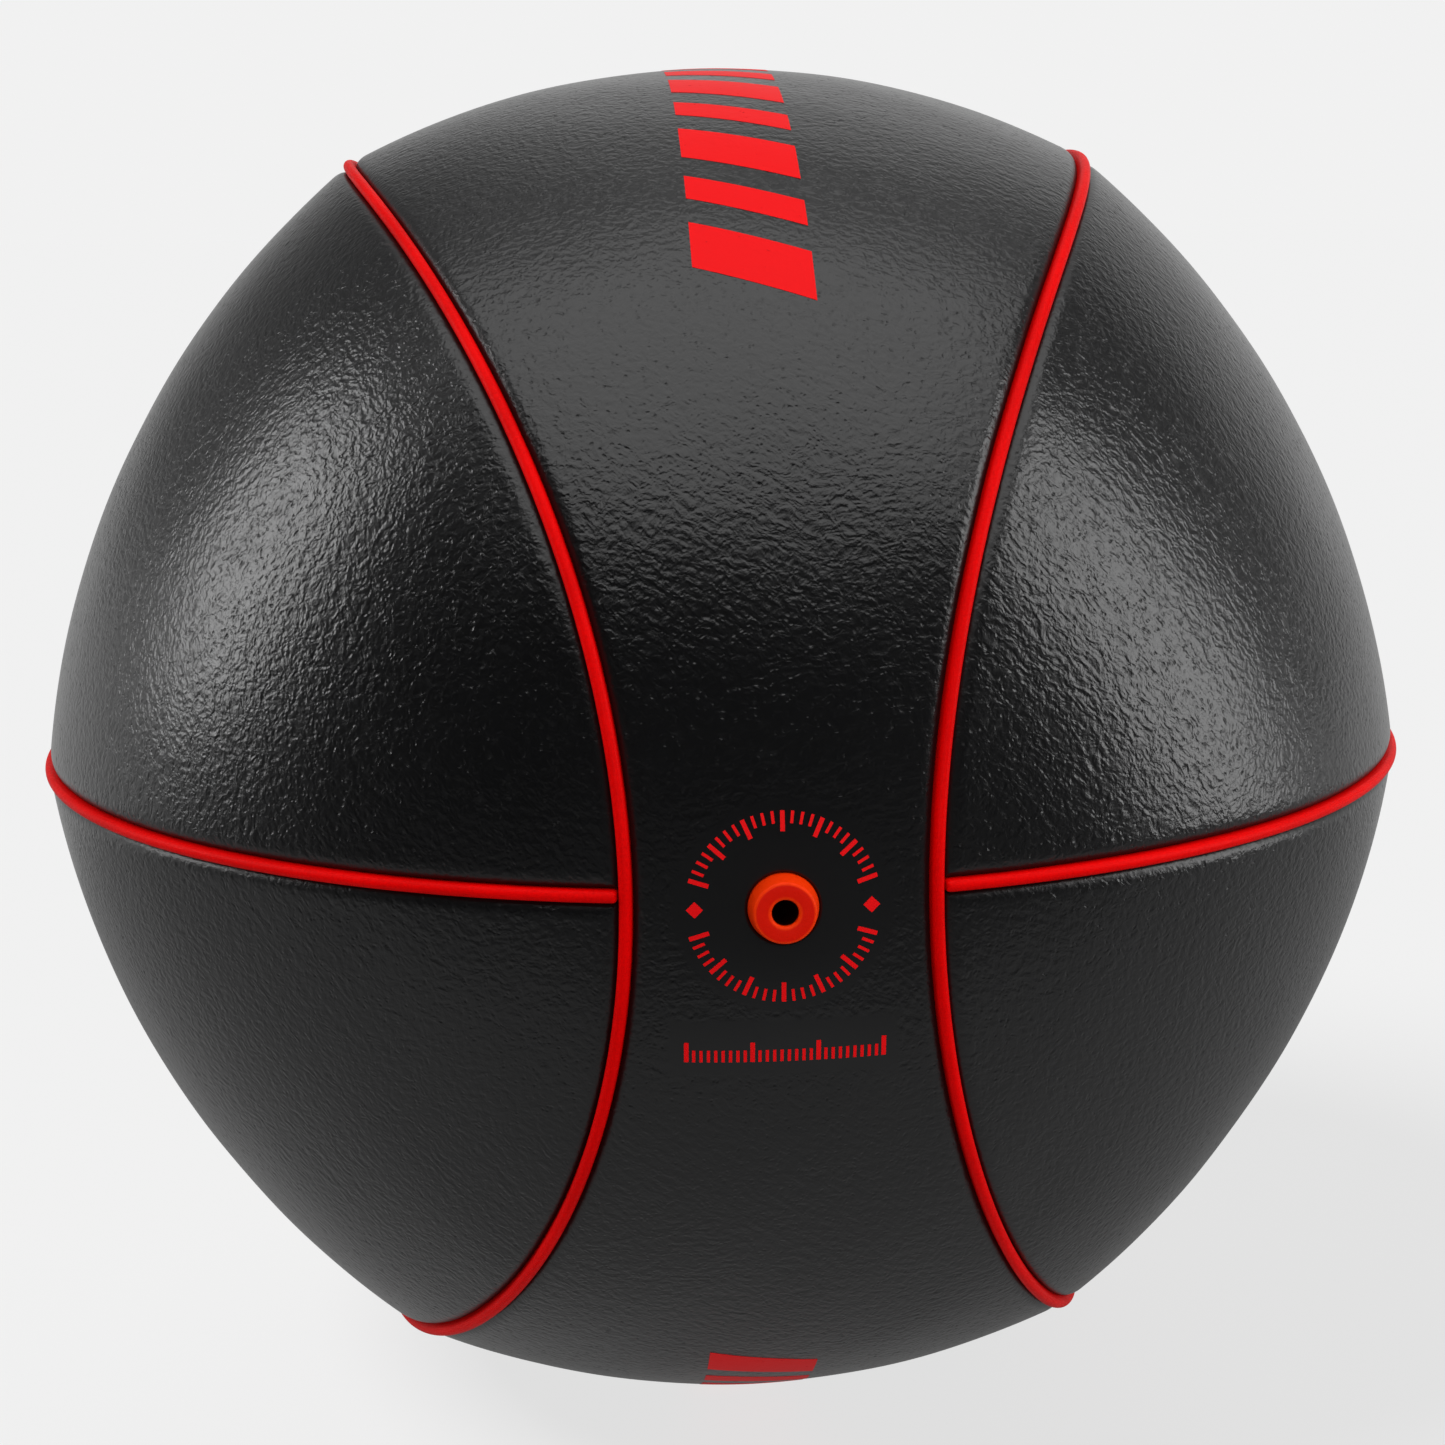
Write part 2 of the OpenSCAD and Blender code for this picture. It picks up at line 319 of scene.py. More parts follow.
def grid_faces(edge, inner, rows):
    """Faces of the grid inside an outline that starts at point `edge`, the inner points at `inner`."""
    number = np.empty((PANEL_STEPS + 1, rows + 1), int)
    number[:, 0] = edge + np.arange(PANEL_STEPS + 1)
    number[1:-1, rows] = edge + 2 * PANEL_STEPS - np.arange(1, PANEL_STEPS)
    number[0, :] = edge
    number[-1, :] = edge + PANEL_STEPS
    number[1:-1, 1:rows] = inner + np.arange((PANEL_STEPS - 1) * (rows - 1)).reshape(-1, rows - 1)
    a, b = number[:-1, :-1], number[1:, :-1]
    c, d = number[1:, 1:], number[:-1, 1:]
    quads = np.stack([a, b, c, d], axis=-1)
    first = [[q[0], q[1], q[2]] for q in quads[0].tolist()]
    last = [[q[0], q[2], q[3]] for q in quads[-1].tolist()]
    return first + quads[1:-1].reshape(-1, 4).tolist() + last


def side_panel_mesh():
    """The upper right-hand panel: rounded edges, the outer face, the inner face and the walls."""
    outlines = [panel_outline(inset(t)) for t in ROUNDING]
    count = 2 * PANEL_STEPS
    points = [v * (side_radius(v) - edge_drop(t))[:, None] for v, t in zip(outlines, ROUNDING)]
    middle = panel_inside(outlines[-1], PANEL_ROWS)
    points.append(middle * side_radius(middle)[:, None])
    points.append(outlines[0] * SKIN_R)
    points.append(panel_inside(outlines[0], INNER_ROWS) * SKIN_R)
    ring = np.arange(count)
    faces = []
    for k in range(EDGE_STEPS - 1):
        faces += ring_faces(ring + k * count, ring + (k + 1) * count)
    last = (EDGE_STEPS - 1) * count
    foot = last + count + len(middle)
    faces += grid_faces(last, last + count, PANEL_ROWS)
    faces += [f[::-1] for f in grid_faces(foot, foot + count, INNER_ROWS)]
    faces += ring_faces(ring + foot, ring)
    return np.concatenate(points), faces


def add_side_panels(material):
    points, faces = side_panel_mesh()
    for node, mirror in (
        ("side_panel_right_upper", (1, 1, 1)),
        ("side_panel_right_lower", (1, 1, -1)),
        ("side_panel_left_upper", (-1, 1, 1)),
        ("side_panel_left_lower", (-1, 1, -1)),
    ):
        placed = turned(points * mirror)
        piece = new_piece("cover_" + node, placed, faces, material, stands_for=node)
        add_seam_attribute(piece, points)


# -------- band panel

BAND_TURNS = 600
BAND_ROWS = 56
VALVE_COLUMN = round(SEAM_TURN * BAND_TURNS / 360)
HOLE_COLUMNS = 8
HOLE_ROWS = 14
HOLE_RINGS = 10
LIP_R = 0.45
LIP_RINGS = 6
WALL_RINGS = 6
FOOT_SHARES = (0.33, 0.66)


def band_turns():
    return -360.0 * np.arange(BAND_TURNS) / BAND_TURNS


def band_section():
    """Directions and radii over the band's outer face, by turn and then by row from right to left."""
    turns = band_turns()
    edges = [beside_loop(turns, -inset(t)) for t in ROUNDING]
    last = edges[-1]
    share = 1 - 2 * np.arange(1, BAND_ROWS)[None, :] / BAND_ROWS
    inside = direction(side_of(last)[:, None] * share, turn_of(last)[:, None])
    right = np.stack(edges, axis=1)
    left = right[:, ::-1] * [-1, 1, 1]
    ways = turned(np.concatenate([right, inside, left], axis=1))
    drops = np.concatenate([edge_drop(ROUNDING), np.zeros(BAND_ROWS - 1), edge_drop(ROUNDING)[::-1]])
    return ways, band_radius(ways) - drops


def band_inner():
    """Directions over the inner face, with its rows level with the outer face's inside rows."""
    turns = band_turns()
    foot = beside_loop(turns, -CHANNEL_HALF)
    share = 1 - 2 * np.arange(BAND_ROWS + 1)[None, :] / BAND_ROWS
    return turned(direction(side_of(foot)[:, None] * share, turn_of(foot)[:, None]))


def block_edge(number, middle_row):
    """Numbers of the points round a block of the grid that is centred on the valve, in order."""
    columns = VALVE_COLUMN + np.arange(-HOLE_COLUMNS, HOLE_COLUMNS + 1)
    rows = np.arange(-HOLE_ROWS, HOLE_ROWS + 1) + middle_row
    top = [number[c, rows[0]] for c in columns[:-1]]
    right = [number[columns[-1], r] for r in rows[:-1]]
    bottom = [number[c, rows[-1]] for c in columns[:0:-1]]
    left = [number[columns[0], r] for r in rows[:0:-1]]
    return np.array(top + right + bottom + left)


def open_grid(number, middle_row):
    """Quads of a grid that closes on itself in turn, less the block round the valve."""
    faces = []
    for c in range(BAND_TURNS):
        signed = (c - VALVE_COLUMN + BAND_TURNS // 2) % BAND_TURNS - BAND_TURNS // 2
        near = -HOLE_COLUMNS <= signed < HOLE_COLUMNS
        after = (c + 1) % BAND_TURNS
        for r in range(number.shape[1] - 1):
            if near and -HOLE_ROWS <= r - middle_row < HOLE_ROWS:
                continue
            faces.append([number[c, r], number[after, r], number[after, r + 1], number[c, r + 1]])
    return faces


def around_valve(spots):
    """Directions whose X and Z are given, on the valve's side of the ball."""
    y = -np.sqrt(1 - (spots**2).sum(axis=1))
    return np.stack([spots[:, 0], y, spots[:, 1]], axis=1)


def hole_rings(spots, inner_spots):
    """Rings of points from the band's outer face over the hole's lip and down its wall to the inner face.

    The spots are the X and Z of the directions round the block that the hole replaces in either face.
    """
    angles = np.arctan2(spots[:, 1], spots[:, 0])
    rim = np.stack([np.cos(angles), np.sin(angles)], axis=1)
    rings = []
    lip_start = (HOLE_R + LIP_R) / BAND_FACE
    for k in range(1, HOLE_RINGS + 1):
        t = k / HOLE_RINGS
        v = around_valve(spots * (1 - t) + rim * lip_start * t)
        rings.append(v * band_radius(v)[:, None])
    for k in range(1, LIP_RINGS + 1):
        turn = math.pi / 2 * k / LIP_RINGS
        v = around_valve(rim * (HOLE_R + LIP_R * (1 - math.sin(turn))) / BAND_FACE)
        rings.append(v * (band_radius(v) - LIP_R * (1 - math.cos(turn)))[:, None])
    wall_top = BAND_FACE - LIP_R
    wall_foot = math.sqrt(SKIN_R**2 - HOLE_R**2)
    for depth in np.linspace(wall_top, wall_foot, WALL_RINGS)[1:]:
        wall = [rim[:, 0] * HOLE_R, np.full(len(rim), -depth), rim[:, 1] * HOLE_R]
        rings.append(np.column_stack(wall))
    for t in FOOT_SHARES:
        v = around_valve(rim * HOLE_R / SKIN_R * (1 - t) + inner_spots * t)
        rings.append(v * SKIN_R)
    return rings


def band_mesh():
    """The band: outer face, inner face, the two edges' walls and the hole for the plug's head."""
    outer_ways, outer_radii = band_section()
    inner_ways = band_inner()
    rows = outer_ways.shape[1]
    inner_rows = BAND_ROWS + 1
    outer = np.arange(BAND_TURNS * rows).reshape(BAND_TURNS, rows)
    inner = outer.size + np.arange(BAND_TURNS * inner_rows).reshape(BAND_TURNS, inner_rows)
    outer_middle = EDGE_STEPS - 1 + BAND_ROWS // 2
    inner_middle = BAND_ROWS // 2
    faces = open_grid(outer, outer_middle)
    faces += [f[::-1] for f in open_grid(inner, inner_middle)]
    after = (np.arange(BAND_TURNS) + 1) % BAND_TURNS
    faces += np.stack([outer[:, 0], inner[:, 0], inner[after, 0], outer[after, 0]], axis=1).tolist()
    faces += np.stack([outer[:, -1], outer[after, -1], inner[after, -1], inner[:, -1]], axis=1).tolist()
    outer_edge = block_edge(outer, outer_middle)
    inner_edge = block_edge(inner, inner_middle)
    spots = outer_ways.reshape(-1, 3)[outer_edge][:, [0, 2]]
    inner_spots = inner_ways.reshape(-1, 3)[inner_edge - outer.size][:, [0, 2]]
    added = hole_rings(spots, inner_spots)
    rings = [outer_edge]
    total = outer.size + inner.size
    for ring in added:
        rings.append(total + np.arange(len(ring)))
        total += len(ring)
    rings.append(inner_edge)
    for ring_a, ring_b in zip(rings, rings[1:]):
        faces += ring_faces(ring_b, ring_a)
    outer_points = (outer_ways * outer_radii[..., None]).reshape(-1, 3)
    inner_points = (inner_ways * SKIN_R).reshape(-1, 3)
    return np.concatenate([outer_points, inner_points] + added), faces


def add_band(material):
    points, faces = band_mesh()
    faces = [[int(n) for n in f] for f in faces]
    piece = new_piece("cover_band", points, faces, material, stands_for="band_panel")
    add_seam_attribute(piece, laid_out(points))


# -------- seam ribs

LOOP_STEPS = 720
CROSS_STEPS = 360
CROWN_STEPS = 18
JOINT_GAP = 0.25
NOSE = 0.7
NOSE_STEPS = 8
NOSE_DROP = 0.6


def rib_profile():
    """Offsets across a rib and their radii: a round crown on a straight root."""
    spring = RIB_R - RIB_HALF
    around = np.radians(np.linspace(180, 0, CROWN_STEPS + 1))
    crown = np.stack([RIB_HALF * np.cos(around), spring + RIB_HALF * np.sin(around)], axis=1)
    root = [[-RIB_HALF, SKIN_R], [-RIB_HALF, (SKIN_R + spring) / 2]]
    other = [[RIB_HALF, (SKIN_R + spring) / 2], [RIB_HALF, SKIN_R], [0, SKIN_R]]
    return np.concatenate([root, crown, other])


def add_mirrored_ribs(name, points, faces, material):
    """The right-hand rib of a pair and its mirror image, in the place of the CAD's two ribs."""
    for side, sign in (("right", 1), ("left", -1)):
        node = name + "_" + side
        placed = turned(points * [sign, 1, 1])
        new_piece("seam_" + node, placed, faces, material, stands_for=node)


def add_loop_ribs(material):
    profile = rib_profile()
    turns = 360.0 * np.arange(LOOP_STEPS) / LOOP_STEPS
    across = [beside_loop(turns, offset) * radius for offset, radius in profile]
    points = np.stack(across, axis=1).reshape(-1, 3)
    size = len(profile)
    faces = []
    for s in range(LOOP_STEPS):
        ring = np.arange(size) + s * size
        after = np.arange(size) + (s + 1) % LOOP_STEPS * size
        faces += ring_faces(ring, after)
    add_mirrored_ribs("loop_rib", points, faces, material)


def add_cross_ribs(material):
    """The cross ribs stop a little short of the loops and end in a rounded nose."""
    profile = rib_profile()
    size = len(profile)
    start = WAIST + as_angle(RIB_HALF + JOINT_GAP)
    nose = as_angle(NOSE) * (1 - np.cos(np.linspace(0, math.pi / 2, NOSE_STEPS)))
    middle = np.linspace(start + as_angle(NOSE), 180 - start - as_angle(NOSE), CROSS_STEPS)[1:-1]
    swings = np.concatenate([start + nose, middle, (180 - start - nose)[::-1]])
    near = np.minimum(swings - start, 180 - start - swings) / as_angle(NOSE)
    fullness = np.sqrt(np.clip(1 - (1 - np.clip(near, 0, 1)) ** 2, 0, 1))
    points = []
    for swing, full in zip(swings, fullness):
        offset = as_angle(profile[:, 0] * (0.5 + 0.5 * full))
        radius = np.minimum(profile[:, 1], RIB_R - NOSE_DROP * (1 - full))
        points.append(cross_seam(np.full(size, swing), offset) * radius[:, None])
    faces = []
    for s in range(len(swings) - 1):
        faces += ring_faces(np.arange(size) + s * size, np.arange(size) + (s + 1) * size)
    last = (len(swings) - 1) * size
    for i in range(1, size - 1):
        faces.append([0, i, i + 1])
        faces.append([last, last + i + 1, last + i])
    add_mirrored_ribs("cross_rib", np.concatenate(points), faces, material)


# -------- valve plug

PLUG_SIDES = 128
PLUG_TIP = 87.2
SEAT_LOW = 92.2
SEAT_HIGH = 99.2
CHANNEL_R = 1.0
CHANNEL_FOOT = PLUG_TIP + 2
LEAD_R = 1.8
LEAD_FOOT = PLUG_FACE - 7
INNER_RIM_R = 0.45
FACE_R = 4.3
OUTER_RIM_R = 0.5
HEAD_R = 4.8
STEM_R = 3.5
SPIGOT_R = 2.5
ARC_STEPS = 7


def arc(centre_r, centre_h, radius, first, last):
    """Points of a fillet in the plug's half section, radius first and then height."""
    turns = np.radians(np.linspace(first, last, ARC_STEPS))
    return [(centre_r + radius * math.cos(t), centre_h + radius * math.sin(t)) for t in turns]


def plug_section():
    """Closed half section: radius, then distance from the ball's centre."""
    channel = [(0, CHANNEL_FOOT), (CHANNEL_R, CHANNEL_FOOT), (CHANNEL_R, LEAD_FOOT - 1.5)]
    lead_in = [(LEAD_R - 0.05, LEAD_FOOT - 0.1), (LEAD_R, LEAD_FOOT + 0.1)]
    inner_rim = arc(LEAD_R + INNER_RIM_R, PLUG_FACE - INNER_RIM_R, INNER_RIM_R, 180, 90)
    outer_rim = arc(FACE_R - OUTER_RIM_R, PLUG_FACE - OUTER_RIM_R, OUTER_RIM_R, 90, 10)
    flare = [(4.62, BAND_FACE + 0.45), (4.74, BAND_FACE + 0.1), (HEAD_R, BAND_FACE - 0.3)]
    head = [(HEAD_R, SLEEVE_FACE + 0.15), (HEAD_R - 0.15, SLEEVE_FACE)]
    stem = [(STEM_R, SLEEVE_FACE), (STEM_R, SEAT_HIGH), (SPIGOT_R, SEAT_LOW), (SPIGOT_R, PLUG_TIP + 2.5)]
    tip = [(2.1, PLUG_TIP + 1.2), (1.5, PLUG_TIP + 0.1), (1.35, PLUG_TIP), (0, PLUG_TIP)]
    return channel + lead_in + inner_rim + outer_rim + flare + head + stem + tip


def add_plug(material):
    """The plug's half section turned round its axis, with both ends closed by fans."""
    section = plug_section()
    turns = np.linspace(0, 2 * math.pi, PLUG_SIDES, endpoint=False)
    points = [[0, -section[0][1], 0]]
    rings = []
    for radius, height in section[1:-1]:
        rings.append(len(points) + np.arange(PLUG_SIDES))
        points += [[radius * math.sin(t), -height, radius * math.cos(t)] for t in turns]
    points.append([0, -section[-1][1], 0])
    faces = []
    for ring_a, ring_b in zip(rings, rings[1:]):
        faces += ring_faces(ring_a, ring_b)
    for i in range(PLUG_SIDES):
        after = (i + 1) % PLUG_SIDES
        faces.append([0, int(rings[0][after]), int(rings[0][i])])
        faces.append([len(points) - 1, int(rings[-1][i]), int(rings[-1][after])])
    points = np.array(points)
    new_piece("plug_moulded", points, faces, material, body="plug", stands_for="valve_plug")


# -------- printed marks

INK_STAND = 0.05
INK_ROOT = 0.12
PRINT_CREASE = 60
RING_NEAR = 10.5
RING_FAR = 13.3
RING_TICKS = 25
RING_GROUP = 4
SHORT_BY = 1.1
TICK_W = 0.42
TALL_TICK_W = 0.62
DIAMOND_X = 11.9
DIAMOND_REACH = 1.15
ROW_LEFT = -13.2
ROW_RIGHT = 13.8
ROW_TICKS = 28
ROW_GROUP = 9
ROW_FOOT = -22.4
ROW_TOP = -20.6
ROW_TALL_TOP = -19.4
ROW_TICK_W = 0.44
ROW_TALL_W = 0.64
TICK_GRID = (3, 6)
DIAMOND_GRID = (5, 5)
BAR_GRID = (25, 12)
BAR_HALF = 8.6
BAR_SLANT = 3.4
BAR_LENGTHS = [9.5, 6.0] * 6 + [9.5]
BAR_GAP = 5.6
TOP_MIDDLE = 88.1
BOTTOM_MIDDLE = -90.0


def printed_patch(corner_columns):
    """A thin closed sheet over the band. corner_columns is a grid of (across, along) in millimetres."""
    grid = np.asarray(corner_columns, float)
    across, along = np.degrees(grid[..., 0] / BAND_FACE), np.degrees(grid[..., 1] / BAND_FACE)
    ways = direction(across, along)
    top = ways * (band_radius(ways) + INK_STAND)[..., None]
    low = ways * (band_radius(ways) - INK_ROOT)[..., None]
    m, n = grid.shape[:2]
    upper = np.arange(m * n).reshape(m, n)
    lower = upper + m * n
    faces = []
    for i in range(m - 1):
        for j in range(n - 1):
            faces.append([upper[i, j], upper[i + 1, j], upper[i + 1, j + 1], upper[i, j + 1]])
            faces.append([lower[i, j], lower[i, j + 1], lower[i + 1, j + 1], lower[i + 1, j]])
    edge = [(i, 0) for i in range(m)] + [(m - 1, j) for j in range(1, n)]
    edge += [(i, n - 1) for i in range(m - 2, -1, -1)] + [(0, j) for j in range(n - 2, 0, -1)]
    for (i, j), (k, l) in zip(edge, edge[1:] + edge[:1]):
        faces.append([upper[i, j], lower[i, j], lower[k, l], upper[k, l]])
    return np.concatenate([top.reshape(-1, 3), low.reshape(-1, 3)]), faces


def quad_grid(corners, m, n):
    """An m by n grid of points between four corners, given in order round the patch."""
    a, b, c, d = (np.array(p, float) for p in corners)
    u = np.linspace(0, 1, m)[:, None, None]
    w = np.linspace(0, 1, n)[None, :, None]
    return (a * (1 - u) + b * u) * (1 - w) + (d * (1 - u) + c * u) * w


def joined(patches):
    """Several closed patches as one mesh."""
    points, faces, base = [], [], 0
    for some_points, some_faces in patches:
        points.append(some_points)
        faces += [[int(n) + base for n in f] for f in some_faces]
        base += len(some_points)
    return np.concatenate(points), faces


def ring_tick(angle, near, far, width):
    """A radial tick of the ring round the valve, at a clock angle in degrees."""
    way = np.array([math.sin(math.radians(angle)), math.cos(math.radians(angle))])
    across = np.array([way[1], -way[0]]) * width / 2
    corners = [way * near - across, way * near + across, way * far + across, way * far - across]
    return printed_patch(quad_grid(corners, *TICK_GRID))


def diamond(x, reach):
    """A diamond level with the valve."""
    corners = [(x - reach, 0), (x, -reach), (x + reach, 0), (x, reach)]
    return printed_patch(quad_grid(corners, *DIAMOND_GRID))


def row_tick(x, top, width):
    """An upright tick of the row below the valve."""
    half = width / 2
    corners = [(x - half, ROW_FOOT), (x + half, ROW_FOOT), (x + half, top), (x - half, top)]
    return printed_patch(quad_grid(corners, *TICK_GRID))


def add_valve_marks(material):
    """A dial-like ring of ticks with two plain diamonds, and a plain row of ticks below."""
    patches = []
    for first, last in ((-72, 72), (108, 252)):
        for k, angle in enumerate(np.linspace(first, last, RING_TICKS)):
            if k % RING_GROUP == 0:
                patches.append(ring_tick(angle, RING_NEAR, RING_FAR, TALL_TICK_W))
            else:
                patches.append(ring_tick(angle, RING_NEAR + SHORT_BY, RING_FAR, TICK_W))
    patches += [diamond(-DIAMOND_X, DIAMOND_REACH), diamond(DIAMOND_X, DIAMOND_REACH)]
    for k, x in enumerate(np.linspace(ROW_LEFT, ROW_RIGHT, ROW_TICKS)):
        if k % ROW_GROUP == 0:
            patches.append(row_tick(x, ROW_TALL_TOP, ROW_TALL_W))
        else:
            patches.append(row_tick(x, ROW_TOP, ROW_TICK_W))
    points, faces = joined(patches)
    new_piece("print_valve_marks", points, faces, material, crease=PRINT_CREASE)


def slanted_bar(low, length):
    """A plain bar across the band, given by where it starts along the band and its length."""
    high = low + length
    corners = [
        (-BAR_HALF, low + BAR_SLANT),
        (BAR_HALF, low - BAR_SLANT),
        (BAR_HALF, high - BAR_SLANT),
        (-BAR_HALF, high + BAR_SLANT),
    ]
    return printed_patch(quad_grid(corners, *BAR_GRID))


def add_band_stripes(material):
    """A row of plain slanted bars over the top of the band and another round its bottom."""
    starts = np.cumsum([0] + [length + BAR_GAP for length in BAR_LENGTHS])[:-1]
    total = starts[-1] + BAR_LENGTHS[-1]
    for name, middle in (("print_stripes_top", TOP_MIDDLE), ("print_stripes_bottom", BOTTOM_MIDDLE)):
        first = math.radians(middle) * BAND_FACE - total / 2
        bars = [slanted_bar(first + start, length) for start, length in zip(starts, BAR_LENGTHS)]
        points, faces = joined(bars)
        new_piece(name, points, faces, material, crease=PRINT_CREASE)


# -------- shader nodes


def add_node(tree, kind, **settings):
    """A node with some settings; those whose names start with in_ go to its input sockets."""
    node = tree.nodes.new(kind)
    for name, value in settings.items():
        if name.startswith("in_"):
            node.inputs[name[3:].replace("_", " ")].default_value = value
        else:
            setattr(node, name, value)
    return node


def wire(tree, source, target, out=0, into=0):
    tree.links.new(source.outputs[out], target.inputs[into])


def new_material(name, **shader):
    """A material with its Principled shader, whose settings are given by socket name."""
    material = bpy.data.materials.new(name)
    material.use_nodes = True
    principled = material.node_tree.nodes["Principled BSDF"]
    for socket, value in shader.items():
        principled.inputs[socket.replace("_", " ")].default_value = value
    return material, material.node_tree, principled


def math_node(tree, operation, a, b=None, clamp=False):
    """The result of a math node, whose values are numbers or sockets."""
    node = add_node(tree, "ShaderNodeMath", operation=operation, use_clamp=clamp)
    for place, value in enumerate((a, b)):
        if isinstance(value, (int, float)):
            node.inputs[place].default_value = value
        elif value is not None:
            tree.links.new(value, node.inputs[place])
    return node.outputs[0]


def remap(tree, value, low, high, to_low=0.0, to_high=1.0, smooth=True):
    """The value taken from one range to another, and kept inside it."""
    node = add_node(tree, "ShaderNodeMapRange")
    node.interpolation_type = "SMOOTHSTEP" if smooth else "LINEAR"
    tree.links.new(value, node.inputs["Value"])
    node.inputs["From Min"].default_value = low
    node.inputs["From Max"].default_value = high
    node.inputs["To Min"].default_value = to_low
    node.inputs["To Max"].default_value = to_high
    return node.outputs["Result"]


def blend_values(tree, share, first, second):
    """The first value where the share is 0, the second where it is 1."""
    mix = add_node(tree, "ShaderNodeMix", data_type="FLOAT")
    tree.links.new(share, mix.inputs["Factor"])
    for place, value in (("A", first), ("B", second)):
        if isinstance(value, (int, float)):
            mix.inputs[place].default_value = value
        else:
            tree.links.new(value, mix.inputs[place])
    return mix.outputs["Result"]


def separated(tree, vector):
    """The X, Y and Z of a vector."""
    parts = add_node(tree, "ShaderNodeSeparateXYZ")
    tree.links.new(vector, parts.inputs[0])
    return parts.outputs[0], parts.outputs[1], parts.outputs[2]


def from_valve_axis(tree, x, z):
    """Distance from the line that runs through the valve and the ball's centre."""
    squares = math_node(tree, "ADD", math_node(tree, "MULTIPLY", x, x), math_node(tree, "MULTIPLY", z, z))
    return math_node(tree, "SQRT", squares)


def object_millimetres(tree):
    """Object coordinates in millimetres."""
    coordinates = add_node(tree, "ShaderNodeTexCoord")
    scale = add_node(tree, "ShaderNodeVectorMath", operation="SCALE")
    scale.inputs["Scale"].default_value = 1 / MM
    wire(tree, coordinates, scale, out="Object")
    return scale.outputs[0]


def noise_node(tree, where, scale, detail, rough=0.5):
    node = add_node(tree, "ShaderNodeTexNoise", in_Scale=scale, in_Detail=detail, in_Roughness=rough)
    tree.links.new(where, node.inputs["Vector"])
    return node


def noise(tree, where, scale, detail=2.0, rough=0.5):
    return noise_node(tree, where, scale, detail, rough).outputs[0]


def warped(tree, where, scale, reach):
    """Coordinates moved about by noise, so that the patterns in them wander."""
    mover = noise_node(tree, where, scale, detail=1.0)
    centred = add_node(tree, "ShaderNodeVectorMath", operation="SUBTRACT")
    centred.inputs[1].default_value = (0.5, 0.5, 0.5)
    wire(tree, mover, centred, out="Color")
    sized = add_node(tree, "ShaderNodeVectorMath", operation="SCALE")
    sized.inputs["Scale"].default_value = reach
    wire(tree, centred, sized)
    moved = add_node(tree, "ShaderNodeVectorMath", operation="ADD")
    tree.links.new(where, moved.inputs[0])
    wire(tree, sized, moved, into=1)
    return moved.outputs[0]


def spot_distance(tree, where, scale):
    """Distance to the nearest of many scattered spots."""
    node = add_node(tree, "ShaderNodeTexVoronoi", in_Scale=scale)
    tree.links.new(where, node.inputs["Vector"])
    return node.outputs["Distance"]


def bump(tree, height, shader, depth):
    """Bends the surface's shading by a height, where a height of 1 is the depth in metres."""
    node = add_node(tree, "ShaderNodeBump", in_Strength=1.0, in_Distance=depth)
    tree.links.new(height, node.inputs["Height"])
    tree.links.new(node.outputs["Normal"], shader.inputs["Normal"])


def mixed_colour(tree, share, first, second):
    """The first colour where the share is 0, the second where it is 1; either may be a socket."""
    mix = add_node(tree, "ShaderNodeMix", data_type="RGBA")
    for place in mix.inputs:
        if place.type == "RGBA":
            colour = first if place.name == "A" else second
            if isinstance(colour, tuple):
                place.default_value = colour
            else:
                tree.links.new(colour, place)
    tree.links.new(share, mix.inputs["Factor"])
    return [socket for socket in mix.outputs if socket.type == "RGBA"][0]


def two_colours(tree, share, first, second, shader):
    tree.links.new(mixed_colour(tree, share, first, second), shader.inputs["Base Color"])


def set_roughness(tree, value, shader):
    tree.links.new(value, shader.inputs["Roughness"])


# -------- the cover's grain

# Scales are in cells per millimetre. A kind of fold has an angle, a length and a width.
WANDER_SCALE = 0.3
WANDER = 1.6
PIT_SCALE = 0.95
PIT_EDGES = (0.04, 0.36)
PIT_DEPTH = 0.3
PEBBLE_SCALE = 1.0
STEEP_FOLDS = (40.0, 3.4, 0.95)
LEVEL_FOLDS = (-8.0, 2.4, 0.95)
FOLD_PATCH_SCALE = 0.03
FOLD_PATCH_EDGES = (0.5, 0.6)
UNEVEN_SHARE = 0.9

# The cover is smooth up to the first distance and grained from the second. Behind the valve's side of
# the ball, from the second Y, only the seams count.
RING_CLEAR = (14.2, 15.6)
ROW_CLEAR_X = (15.0, 16.4)
ROW_MIDDLE = -20.0
ROW_CLEAR_Z = (3.6, 5.0)
VALVE_SIDE = (-60.0, -50.0)
SEAM_BORDER = (1.2, 3.0)
BORDER_GRAIN = 0.45


def folds(tree, where, angle, length, width):
    """Noise drawn out into folds. Seen from the front, they fall to the right at the angle."""
    turned = add_node(tree, "ShaderNodeMapping", vector_type="TEXTURE")
    turned.inputs["Rotation"].default_value = (0.0, math.radians(angle), 0.0)
    turned.inputs["Scale"].default_value = (length, width, width)
    tree.links.new(where, turned.inputs["Vector"])
    return noise(tree, turned.outputs["Vector"], 1.0, detail=1.5)


def leather_height(tree, where):
    """Leather-like grain: low pebbles, small pits between them, and folds that change way in patches."""
    drifted = warped(tree, where, WANDER_SCALE, WANDER)
    pit = remap(tree, spot_distance(tree, drifted, PIT_SCALE), *PIT_EDGES, 0.0, PIT_DEPTH)
    pebbles = noise(tree, drifted, PEBBLE_SCALE)
    patches = noise(tree, where, FOLD_PATCH_SCALE, detail=1.0)
    share = remap(tree, patches, *FOLD_PATCH_EDGES)
    steep = folds(tree, drifted, *STEEP_FOLDS)
    level = folds(tree, drifted, *LEVEL_FOLDS)
    uneven = math_node(tree, "ADD", pebbles, blend_values(tree, share, steep, level))
    return math_node(tree, "ADD", pit, math_node(tree, "MULTIPLY", uneven, UNEVEN_SHARE))


